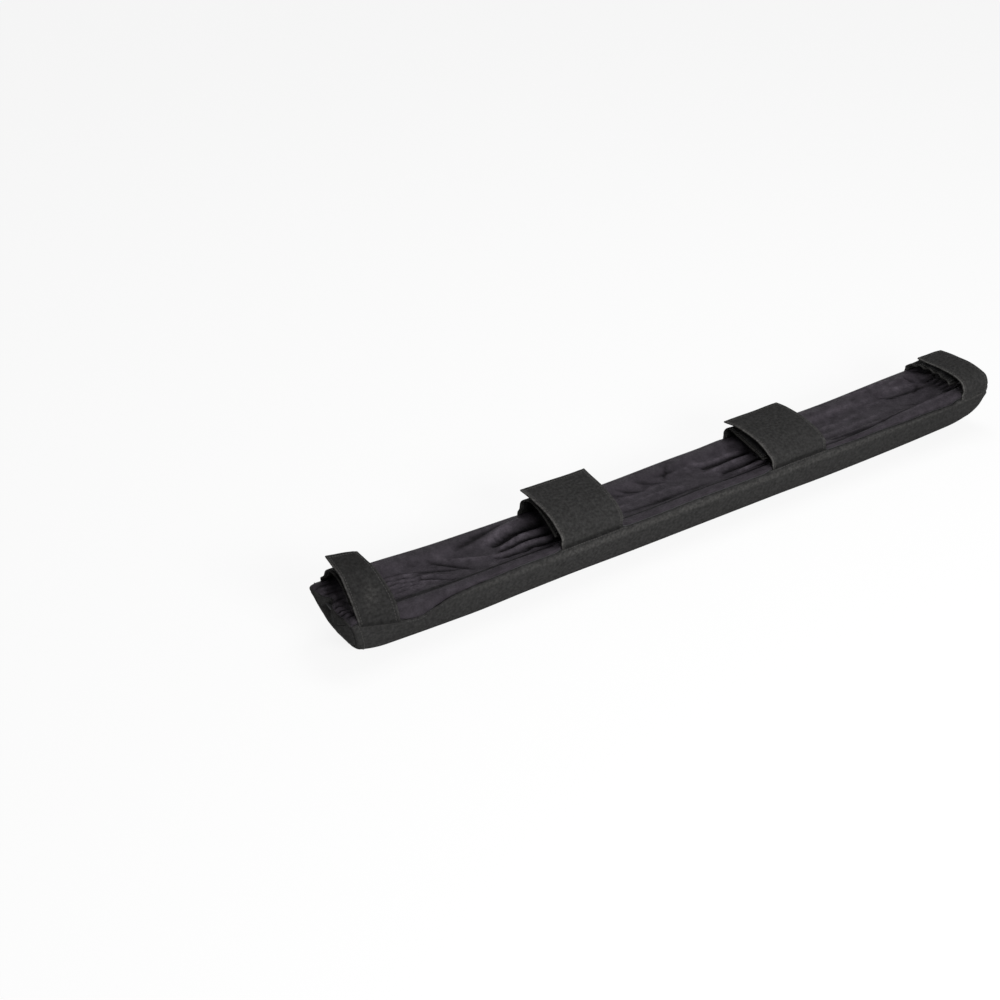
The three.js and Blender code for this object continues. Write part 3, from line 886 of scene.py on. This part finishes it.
def lining_cloth():
    count = round(2 * HALF_LENGTH / LINING_PITCH)
    last = abs(stations[0])
    station = np.repeat(np.linspace(-last, last, count + 1)[:, None], LINING_ROWS, 1)
    x = station * HALF_LENGTH
    share = np.linspace(-1, 1, LINING_ROWS)[None, :]
    edge = HALF_WIDTH - RIM_RADIUS + LINING_TUCK
    reach = edge + np.where(share < 0, seam_run(x, True), seam_run(x, False))
    across = share * reach
    y, z = lining_place(station, across)
    hanging = smooth(x, -368, -345) * (1 - smooth(x, -300, -260))
    tucked = smooth(np.abs(across), reach - 3.6, reach - 1.0) * (2.0 - 1.1 * hanging)
    y = y - np.sign(y) * tucked
    folded = folds(x, y) * smooth(end_distance(station), 3, 14)
    z = z + folded
    points = placed(station, y, z)
    points[..., 0] += end_fold(station, y) * (1 - smooth(end_distance(station), 0, 34))
    uv = np.stack([x, across], -1).reshape(-1, 2)
    faces = grid_faces(count + 1, LINING_ROWS)[:, ::-1]
    piece = add_cloth("lining_cloth", points.reshape(-1, 3), faces, nylon, uv)
    held = np.ones(x.shape)
    held[1:-1, 5:-5] = 0.3
    cut = points.reshape(-1, 3) * (LINING_FULLNESS, LINING_FULLNESS, 1)
    moved = settle(piece, held.ravel(), frames=12, cap=2.0, cut=cut, stiffness=12, bending=0.05)
    lowest = placed(station, y, LINING_TOP - groove_depth(y) - FOLD_ROOM)[..., 2].ravel()
    flat_part = (np.abs(across) < HALF_WIDTH - RIM_RADIUS).ravel()
    moved[flat_part, 2] = np.maximum(moved[flat_part, 2], lowest[flat_part])
    rise = moved[:, 2] - lowest - FOLD_ROOM
    # Painted highlight: the lining's raised folds are mixed towards the paler nylon.
    wear = np.where(flat_part, ramp(rise, 0.2, 2.2) * 0.85, 0)
    piece.data.vertices.foreach_set("co", (moved * MM).ravel())
    # Painted shade: the lining is darkened in the hollows of its folds and gathers, and near the right
    # end, where the last strap arches over it.
    shade_under_right_strap = 1.1 * (1 - smooth(end_distance(station), 22, 66)) * smooth(y, -33, -20) * (station > 0)
    shaded_depth = shade_under_right_strap - folded - gathers(station, y)
    mark_points(piece.data, wear=wear, crease=CREASE_SHADE * ramp(shaded_depth, 0.1, 1.6))
    thicken(piece, DRAWN_NYLON)
    return piece


lining = lining_cloth()
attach(lining, "root")
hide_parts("lining")


# Straps
# Eight straps of doubled canvas, folded at one long edge and topstitched along both edges and the tip.
# The outer ones are sewn into the near rim and the inner ones into the far rim. Each pair stands
# half closed, as it was pulled off the bar, with the outer strap arched over the inner one.
STRAP_ARCH = 40
STRAP_THICKNESS = 2.0
PLY_NOTCH = 0.35
ROOT_INSET = 2.5
ROOT_RISE = 2.5
ROOT_DEPTH = 1.9
TAPE_THICKNESS = 1.0
CLOSED_STACK = STRAP_THICKNESS + 2 * TAPE_THICKNESS + 3 * CLEARANCE
STITCH_MARGIN = 3.6
# Painted shade on the straps' undersides, on the inner straps and at the roots by the seam
UNDERSIDE_SHADE = 0.6
INNER_SHADE = 0.6
ROOT_SHADE = 0.5
STRAP_STEPS = 96
STRAP_COLUMNS = 30

# A route is a list of places: a share of the half width and a share of the arch over the rim.
# The lean is how far along the pad a strap's root and its tip have been pulled. The twist tilts both
# straps towards their tips. The flares widen an outer strap's root and its tip, the bow swings its
# lower part, and the shade is painted shade that darkens its upper side.
STRAPS = [
    {
        "outer": [(-0.82, 0.1125), (-0.58, 0.4125), (-0.28, 0.725), (0.07, 0.81), (0.43, 0.868)],
        "inner": [
            (0.71, 0.28), (0.55, 0.5), (0.32, 0.63), (0.06, 0.67), (-0.2, 0.59), (-0.45, 0.385),
            (-0.63, 0.14)
        ],
        "twist": -0.065,
        "lean": (0, 0.5),
        "inner lean": (5, 1),
        "flare": 7.5,
        "tip flare": -0.8,
        "shade": 0.28,
    },
    {
        "outer": [
            (-0.97, 0.15), (-0.82, 0.32), (-0.6, 0.47), (-0.25, 0.6), (0.2, 0.68), (0.7, 0.73)
        ],
        "inner": [
            (0.86, 0.2), (0.79, 0.42), (0.59, 0.575), (0.35, 0.65), (0.12, 0.61), (-0.14, 0.51),
            (-0.43, 0.33), (-0.68, 0.12)
        ],
        "twist": -0.02,
        "lean": (0, 0),
        "tip flare": 2.8,
        "bow": 1.6,
    },
    {
        "outer": [(-0.93, 0.1), (-0.73, 0.27), (-0.41, 0.41), (0, 0.485), (0.46, 0.505), (0.9, 0.46)],
        "inner": [(0.93, 0.2), (0.76, 0.375), (0.56, 0.36), (0.07, 0.255), (-0.39, 0.135), (-0.62, 0.05)],
        "twist": -0.01,
        "lean": (2.5, -2),
    },
    {
        "outer": [
            (-1.02, 0.05), (-1, 0.17), (-0.84, 0.265), (-0.46, 0.345), (0, 0.35), (0.42, 0.335),
            (0.65, 0.325)
        ],
        "inner": [(0.96, 0.1), (0.85, 0.2), (0.58, 0.28), (0.2, 0.3), (-0.3, 0.23), (-0.6, 0.12)],
        "twist": -0.03,
        "lean": (4, 0),
        "inner lean": (-6, 0),
    },
]


def points_at(line, lengths):
    """The points at given lengths along a line."""
    done = lengths_along(line)
    return np.stack([np.interp(lengths, done, line[:, axis]) for axis in range(2)], -1)


def through(points, samples):
    """A smooth line through points, evenly spaced: a centripetal Catmull-Rom spline."""
    points = np.array(points, float)
    padded = np.vstack([2 * points[0] - points[1], points, 2 * points[-1] - points[-2]])
    gaps = np.sqrt(np.linalg.norm(np.diff(padded, axis=0), axis=1))
    knots = np.concatenate([[0], np.cumsum(gaps)])
    line = []
    for index in range(1, len(padded) - 2):
        p, k = padded[index - 1:index + 3], knots[index - 1:index + 3]
        t = np.linspace(k[1], k[2], 40)[:, None]
        a = [((k[i + 1] - t) * p[i] + (t - k[i]) * p[i + 1]) / (k[i + 1] - k[i]) for i in range(3)]
        b = [((k[i + 2] - t) * a[i] + (t - k[i]) * a[i + 1]) / (k[i + 2] - k[i]) for i in range(2)]
        line.append(((k[2] - t) * b[0] + (t - k[1]) * b[1]) / (k[2] - k[1]))
    line = np.vstack(line)
    return points_at(line, np.linspace(0, lengths_along(line)[-1], samples))


def strap_route(side, shares, stack):
    """The middle line of a strap across the pad; side is -1 from the near rim, 1 from the far rim."""
    root = (side * (HALF_WIDTH - ROOT_INSET + 1.2), HEIGHT - ROOT_DEPTH)
    risen = (side * (HALF_WIDTH - ROOT_INSET + 0.3), HEIGHT + CLEARANCE + ROOT_RISE)
    rest = [(share * HALF_WIDTH, HEIGHT + height * STRAP_ARCH + stack) for share, height in shares]
    upright = np.linspace(root, risen, 6)[:-1]
    return np.vstack([upright, through([risen, *rest], 400)])


def strap_wave(number, side, share, across):
    """Small hollows and waves of one strap's cloth: height by share of length and of half width."""
    phase = 1.7 * number + (2.4 if side < 0 else 0)
    wave = 0.4 * np.sin(6.2 * share + 2.1 * across + phase) * ramp(share, 0, 0.2)
    wave = wave + 0.15 * np.sin(17 * share + 5 * across + phase) * ramp(share, 0, 0.15)
    # One edge of the right end's inner strap is wavy
    if number == 3 and side > 0:
        wave = wave + 1.3 * np.sin(34 * share + 1.5) * ramp(-across, 0.2, 1) * ramp(share, 0.1, 0.3)
    from_stitches = STRAP_WIDTHS[number] / 2 * (1 - np.abs(across)) - STITCH_MARGIN
    wave = wave - 0.16 * bell(from_stitches, 0, 0.7)
    # The left end's outer strap has a low bump and a dent near its root, and one edge bends down
    if number == 0 and side < 0:
        wave = wave + 2.6 * bell(across, 0.5, 0.42) * bell(share, 0.26, 0.12)
        wave = wave - 1.6 * bell(across, 0.7, 0.35) * bell(share, 0.1, 0.05)
        wave = wave - 1.2 * ramp(across, 0.6, 1) ** 2
    return wave


def strap_sheet(number, side, from_length, to_length, offset, half_width, steps, across):
    """Rings of points for a ribbon on a strap's route, at offsets over the strap's middle line.

    A to_length of 0 is the route's end. With the rings come each ring's length and its share.
    """
    strap = STRAPS[number]
    line = strap_route(side, strap["outer" if side < 0 else "inner"], CLOSED_STACK if side < 0 else 0)
    length = lengths_along(line)[-1]
    even = np.linspace(from_length, to_length or length, steps)
    middle = points_at(line, even)
    along = np.gradient(middle, axis=0)
    along /= np.linalg.norm(along, axis=1, keepdims=True)
    over = np.stack([-along[:, 1], along[:, 0]], -1) * -side
    ring_share = even / length
    run, share, across = even[:, None], ring_share[:, None], across[None, :]
    wave = strap_wave(number, side, share, across * (half_width / (STRAP_WIDTHS[number] / 2)))
    rise = offset[None, :] + wave
    y = middle[:, None, 0] + over[:, None, 0] * rise
    z = middle[:, None, 1] + over[:, None, 1] * rise
    x = STRAP_CENTRES[number] + np.broadcast_to(across * half_width, y.shape)
    z = z + strap["twist"] * STRAP_ARCH * across * share ** 2
    sway, lifted = slump(x, np.full(x.shape, side * HALF_WIDTH), np.full(x.shape, HEIGHT))
    hold = 1 - 0.75 * share
    root_lean, tip_lean = strap["lean"] if side < 0 else strap.get("inner lean", (0, 0))
    x = x + root_lean * (1 - share) ** 2 + tip_lean * share ** 2
    if side < 0:
        x = x + strap.get("flare", 0) * (1 - smooth(run, 8, 62)) * ramp(across, 0, 1)
        x = x + strap.get("tip flare", 0) * across * share ** 2
        y = y - strap.get("bow", 0) * across * bell(share, 0.25, 0.15)
        drop = seam_dip(x) * (1 - smooth(run, 1, 17))
        z = z - drop
        over_rim = 3.4 * bell(run, 9, 6) * smooth(seam_dip(x), 5, 11)
        y = y - 1.9 * smooth(drop, 0, 5) - 1.3 * smooth(drop, 6, 12) - over_rim
    points = np.stack([x, y + sway * hold, z + end_curl(x) + lifted * hold], -1)
    return points, even, ring_share


def strap_profile(width):
    """Section of doubled canvas, anticlockwise: rounded folds, and a notch between the plies."""
    half = STRAP_THICKNESS / 2
    flat = np.linspace(-1, 1, STRAP_COLUMNS)
    inner = 1 - 1.0 / (width / 2)
    top = np.stack([flat * inner, np.full(len(flat), half)], -1)
    edge = [(1 - 0.35 / (width / 2), half - 0.2), (1, half * 0.5), (1 - 0.25 / (width / 2), 0.14)]
    notch = [(1 - PLY_NOTCH * 2.6 / (width / 2), 0)]
    right = np.array(edge + notch + [(x, -z) for x, z in edge[::-1]])
    bottom = (top * (1, -1))[::-1]
    left = right[::-1] * (-1, 1)
    return np.concatenate([top, right, bottom, left])


def ribbon_uv(rings, across, lengths):
    """Cloth coordinates of a ribbon's points: across it and along it."""
    u, v, _ = np.broadcast_arrays(across[None, :], lengths[:, None], rings[..., 0])
    return np.stack([u, v], -1).reshape(-1, 2)


strap_pieces = {}
for number in range(4):
    for side, kind in ((-1, "outer"), (1, "inner")):
        width = STRAP_WIDTHS[number]
        profile = strap_profile(width)
        rings, even, share = strap_sheet(
            number, side, 0, 0, profile[:, 1], width / 2, STRAP_STEPS, profile[:, 0]
        )
        edge_wear = ramp(np.abs(profile[:, 0]) * width / 2, width / 2 - 2.4, width / 2 - 0.8)
        edge_wear = edge_wear * np.where(profile[:, 0] < 0, 1, 0.4)
        end_wear = ramp(share, 1 - 1.2 / even[-1], 1)
        wear = np.maximum(edge_wear[None, :] * 0.9, end_wear[:, None] * 0.6)
        # A painted highlight lies over the bump on the left end's outer strap, on the side that faces the
        # light
        if number == 0 and side < 0:
            beside = (profile[None, :, 0] - 0.1 - 1.6 * (share[:, None] - 0.26)) / 0.33
            flap_highlight = bell(beside, 0, 1) * bell(share[:, None], 0.27, 0.12)
            wear = np.maximum(wear, 0.42 * flap_highlight)
        # Painted shade: the undersides, the inner straps, the first outer strap's top and the roots of the
        # first three strap pairs by the seam are darkened.
        top_shade = STRAPS[number].get("shade", 0) if side < 0 else INNER_SHADE
        shaded = np.where(profile[:, 1] < 0, UNDERSIDE_SHADE, top_shade)
        at_seam = 1 - smooth(even[:, None], 2.5, 5.5)
        shaded = np.maximum(shaded[None, :], ROOT_SHADE * at_seam * (number < 3))
        strap = add_cloth(
            f"{kind}_strap_{number + 1}", rings.reshape(-1, 3), capped_faces(*rings.shape[:2]), canvas,
            ribbon_uv(rings, profile[:, 0] * width / 2, even),
            {"wear": wear, "crease": shaded}, closed=True,
        )
        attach(strap, "root")
        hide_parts(f"strap_{kind}_{number + 1}")
        strap_pieces[kind, number] = strap, even[-1]


# Hook and loop tapes
# Woven nylon tape sewn to the facing sides of each strap pair: stiff hooks under the outer strap,
# soft brushed loops on the inner one. Each is the tape's backing with its pile standing on it.
TAPE_LENGTH = 45
TAPE_MARGIN = 4
TAPE_STEPS = 26
TAPE_COLUMNS = 20
HOOK_COLOUR = (0.011, 0.011, 0.012, 1)
LOOP_COLOUR = (0.013, 0.013, 0.0135, 1)
HOOK_PITCH = 1.9
LOOP_PITCH = 1.7


def tape_material(name, colour, roughness, thread):
    return cloth_material(
        name, colour, tuple(1.6 * channel for channel in colour[:3]) + (1,), thread,
        gloss=(roughness, 0.1), weave_height=0.0001, mottle=(0.004, 0.28), crinkle=(700.0, 0.0003),
    )


hook_nylon = tape_material("hook tape", HOOK_COLOUR, 0.5, 0.0005)
loop_nylon = tape_material("loop tape", LOOP_COLOUR, 0.85, 0.0004)


def outward_mark(tree):
    marked = {"data_type": "FLOAT_VECTOR"}
    return place(tree, "GeometryNodeInputNamedAttribute", marked, Name="outward").outputs[0]


def set_down(tree, given, points, shape, rotation, scale):
    """Ends a geometry tree: one real, dyed copy of a shape on each point."""
    copies = place(
        tree, "GeometryNodeInstanceOnPoints",
        Points=points, Instance=shape.outputs[0], Rotation=rotation, Scale=scale,
    )
    real = place(tree, "GeometryNodeRealizeInstances", Geometry=copies.outputs[0])
    dyed = place(
        tree, "GeometryNodeSetMaterial", Geometry=real.outputs[0], Material=given["Material"]
    )
    place(tree, "NodeGroupOutput", Geometry=dyed.outputs[0])


def pile_tree(name, bend_points, thickness):
    """Geometry nodes that stand one bent thread on each given point, along its outward mark."""
    inputs = {
        "Geometry": "Geometry", "Untidiness": "Float", "Seed": "Int", "Material": "Material"
    }
    tree, given = new_tree(name, "GeometryNodeTree", inputs, {"Geometry": "Geometry"})
    start, middle, end = [tuple(value * MM for value in point) for point in bend_points]
    thread = place(
        tree, "GeometryNodeCurveQuadraticBezier", Resolution=5, Start=start, Middle=middle, End=end
    )
    ring = place(
        tree, "GeometryNodeCurvePrimitiveCircle", {"mode": "RADIUS"}, Resolution=4, Radius=thickness * MM
    )
    solid = place(
        tree, "GeometryNodeCurveToMesh",
        Curve=thread.outputs[0], Profile_Curve=ring.outputs[0], Fill_Caps=True,
    )
    outward = outward_mark(tree)
    upright = place(tree, "FunctionNodeAlignRotationToVector", {"axis": "Z"}, Vector=outward)
    tilt = place(tree, "FunctionNodeRandomValue", {"data_type": "FLOAT_VECTOR"}, Seed=given["Seed"])
    feed(tree, tilt.inputs, [(-0.3, -0.3, -0.5), (0.3, 0.3, 0.5)])
    spread = place(tree, "ShaderNodeVectorMath", {"operation": "SCALE"}, Scale=given["Untidiness"])
    feed(tree, spread.inputs, [tilt.outputs[0]])
    leaning = place(tree, "FunctionNodeRotateRotation", {"rotation_space": "LOCAL"})
    feed(tree, leaning.inputs, [upright.outputs[0], spread.outputs[0]])
    size = place(tree, "FunctionNodeRandomValue", {"data_type": "FLOAT"}, Seed=given["Seed"])
    feed(tree, size.inputs[2:], [0.8, 1.15])
    set_down(tree, given, given["Geometry"], solid, leaning.outputs[0], size.outputs[1])
    return tree


def grown(name, points, tree, material, settings, edges=(), **marks):
    """A baked piece that a geometry tree grows on marked points."""
    seeds = bpy.data.meshes.new("seeds")
    seeds.from_pydata((np.asarray(points) * MM).tolist(), edges, [])
    for key, values in marks.items():
        layer = seeds.attributes.new(key, "FLOAT_VECTOR", "POINT")
        layer.data.foreach_set("vector", np.ravel(values))
    bed = bpy.data.objects.new("seeds", seeds)
    scene.collection.objects.link(bed)
    modifier = bed.modifiers.new("grown", "NODES")
    modifier.node_group = tree
    for socket in tree.interface.items_tree:
        if socket.in_out == "INPUT" and socket.name in settings:
            modifier[socket.identifier] = settings[socket.name]
        if socket.in_out == "INPUT" and socket.name == "Material":
            modifier[socket.identifier] = material
    evaluated = bed.evaluated_get(bpy.context.evaluated_depsgraph_get())
    mesh = bpy.data.meshes.new_from_object(evaluated)
    bpy.data.objects.remove(bed)
    mesh.name = name
    piece = bpy.data.objects.new(name, mesh)
    scene.collection.objects.link(piece)
    return piece


def surface_normals(rings):
    """Unit normals of a grid of points."""
    along = np.gradient(rings, axis=0)
    across = np.gradient(rings, axis=1)
    normal = np.cross(along, across)
    return normal / np.linalg.norm(normal, axis=-1, keepdims=True)


hooks = pile_tree("hook pile", [(0, 0, 0), (0, 0, 1.7), (0.55, 0, 0.45)], 0.1)
loops = pile_tree("loop pile", [(-0.4, 0, -0.1), (0, 0.2, 1.6), (0.45, 0, -0.1)], 0.07)

# Side, kind, carrying strap, cloth and pile of each tape, then the pile's pitch, scatter and untidiness
TAPES = [
    (-1, "hook", "outer", hook_nylon, hooks, HOOK_PITCH, 0.12, 0.5),
    (1, "loop", "inner", loop_nylon, loops, LOOP_PITCH, 0.4, 2.4),
]

for number in range(4):
    for side, kind, carrier, cloth, threads, pitch, scatter, untidiness in TAPES:
        half_width = STRAP_WIDTHS[number] / 2 - TAPE_MARGIN
        low, high = sorted((side * (STRAP_THICKNESS / 2 - 0.1), side * (STRAP_THICKNESS / 2 + 0.5)))
        flat = np.linspace(-1, 1, TAPE_COLUMNS)
        across = np.concatenate([flat, flat[::-1]])
        offset = np.concatenate([np.full(TAPE_COLUMNS, high), np.full(TAPE_COLUMNS, low)])
        tape_to = strap_pieces[carrier, number][1] - TAPE_MARGIN
        tape_from = tape_to - TAPE_LENGTH
        rings, even, _ = strap_sheet(
            number, side, tape_from, tape_to, offset, half_width, TAPE_STEPS, across
        )
        tape = add_cloth(
            f"{kind}_strip_{number + 1}", rings.reshape(-1, 3), capped_faces(*rings.shape[:2]), cloth,
            ribbon_uv(rings, across * half_width, even), closed=True,
        )
        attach(tape, "root")
        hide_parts(f"{kind}_tape_{number + 1}")

        seed_rows = round((TAPE_LENGTH - 2) / pitch)
        seed_columns = round((2 * half_width - 2) / pitch)
        seed_across = np.linspace(-1, 1, seed_columns) * (1 - 1 / half_width)
        top = side * (STRAP_THICKNESS / 2 + 0.45)
        seeds, _, _ = strap_sheet(
            number, side, tape_from + 1, tape_to - 1, np.full(seed_columns, top), half_width,
            seed_rows, seed_across,
        )
        outward = surface_normals(seeds)
        if np.mean(outward[..., 2]) * side < 0:
            outward = -outward
        chance = np.random.default_rng(40 + number * 2 + side)
        seeds = seeds + chance.normal(0, scatter, seeds.shape) * (1, 1, 0)
        pile = grown(
            f"{kind}_pile_{number + 1}", seeds.reshape(-1, 3), threads, cloth,
            {"Untidiness": untidiness, "Seed": 11 + number}, outward=outward,
        )
        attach(pile, "root")


# Stitching
# Black polyester thread. Each strap has a row down both edges and across its tip, the canvas has
# a row along both seams below the lining, and each end has a row beside its seam.
THREAD_COLOUR = (0.038, 0.037, 0.035, 1)
STITCH_PITCH = 3.0
STITCH_LENGTH = 2.3
STITCH_WIDTH = 0.55
SEAM_STITCH_RUN = 2.4
END_STITCH_RUN = 6.5


def thread_material():
    material, tree, shader = new_material(
        "polyester thread", Base_Color=THREAD_COLOUR, Roughness=0.6, Specular_IOR_Level=0.25
    )
    spot = place(tree, "ShaderNodeTexCoord").outputs["Object"]
    twist = place(tree, "ShaderNodeTexNoise", Vector=spot, Scale=3000.0).outputs["Fac"]
    bump = place(tree, "ShaderNodeBump", Strength=0.5, Distance=0.0001, Height=twist)
    tree.links.new(bump.outputs[0], shader.inputs["Normal"])
    return material


def stitch_tree():
    """Geometry nodes that lay a stitch at each step along a line, flat on its outward mark."""
    inputs = {
        "Geometry": "Geometry", "Pitch": "Float", "Stitch": "Vector", "Material": "Material"
    }
    tree, given = new_tree("stitch row", "GeometryNodeTree", inputs, {"Geometry": "Geometry"})
    path = place(tree, "GeometryNodeMeshToCurve", Mesh=given["Geometry"])
    steps = place(
        tree, "GeometryNodeResampleCurve", {"mode": "LENGTH"}, Curve=path.outputs[0], Length=given["Pitch"]
    )
    ball = place(tree, "GeometryNodeMeshUVSphere", Segments=8, Rings=6, Radius=0.5)
    tangent = place(tree, "GeometryNodeInputTangent")
    lying = place(tree, "FunctionNodeAxesToRotation", {"primary_axis": "X", "secondary_axis": "Z"})
    feed(tree, lying.inputs, [tangent.outputs[0], outward_mark(tree)])
    set_down(tree, given, steps.outputs[0], ball, lying.outputs[0], given["Stitch"])
    return tree


thread = thread_material()
stitch_row = stitch_tree()


def sewn(name, rows):
    """One piece of stitching along several lines of points, each with its outward directions."""
    points, edges, outward = [], [], []
    for line, normals in rows:
        start = len(points)
        points += list(line)
        outward += list(normals)
        edges += [(start + step, start + step + 1) for step in range(len(line) - 1)]
    stitch = (STITCH_LENGTH * MM, STITCH_WIDTH * 1.3 * MM, STITCH_WIDTH * MM)
    piece = grown(
        name, points, stitch_row, thread, {"Pitch": STITCH_PITCH * MM, "Stitch": stitch},
        edges=edges, outward=outward,
    )
    piece.data.polygons.foreach_set("use_smooth", [True] * len(piece.data.polygons))
    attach(piece, "root")


for number in range(4):
    for side, carrier in ((-1, "outer"), (1, "inner")):
        half_width = STRAP_WIDTHS[number] / 2
        margin = 1 - STITCH_MARGIN / half_width
        total = strap_pieces[carrier, number][1]
        across = np.array([-margin - 0.02, -margin, margin, margin + 0.02])
        rows = []
        for face in (-1, 1):
            height = face * (STRAP_THICKNESS / 2 + 0.05)
            grid, _, _ = strap_sheet(
                number, side, 3.0, total - STITCH_MARGIN, np.full(4, height), half_width, 60, across
            )
            normals = surface_normals(grid) * face * side
            rows += [(grid[:, 1], normals[:, 1]), (grid[:, 2], normals[:, 2])]
            tip_across = np.linspace(-margin, margin, 24)
            tip, _, _ = strap_sheet(
                number, side, total - STITCH_MARGIN - 0.3, total - STITCH_MARGIN, np.full(24, height),
                half_width, 2, tip_across,
            )
            rows.append((tip[1], surface_normals(tip)[1] * face * side))
        sewn(f"{carrier}_strap_stitching_{number + 1}", rows)


def cover_row(near):
    """A line along the canvas just below one seam, with its outward directions."""
    station = np.linspace(-1, 1, 500) * (1 - 8 / HALF_LENGTH)
    x = station * HALF_LENGTH
    run = seam_run(x, near) + SEAM_STITCH_RUN
    place_on_rim = rim_point(run, -0.35)
    further = rim_point(run, -1.35)
    sign = -1 if near else 1
    line = placed(station, sign * place_on_rim[:, 0], place_on_rim[:, 1])
    outer = placed(station, sign * further[:, 0], further[:, 1])
    return line, outer - line


sewn("near_seam_stitching", [cover_row(True)])
sewn("far_seam_stitching", [cover_row(False)])


def end_row(end):
    """A line on the canvas beside an end seam, from the near rim under the crown to the far rim."""
    column = np.argmin(np.abs(end_distance(stations) - END_STITCH_RUN) + (stations * end < 0) * 1e6)
    block = bag_points[:COLUMNS * ROWS].reshape(COLUMNS, ROWS, 3)
    columns = block[column - 1:column + 2]
    normals = surface_normals(columns)[1]
    if normals[ROWS // 2, 2] > 0:
        normals = -normals
    return columns[1, 3:-3] + normals[3:-3] * 0.15, normals[3:-3]


sewn("end_seam_stitching", [end_row(-1), end_row(1)])
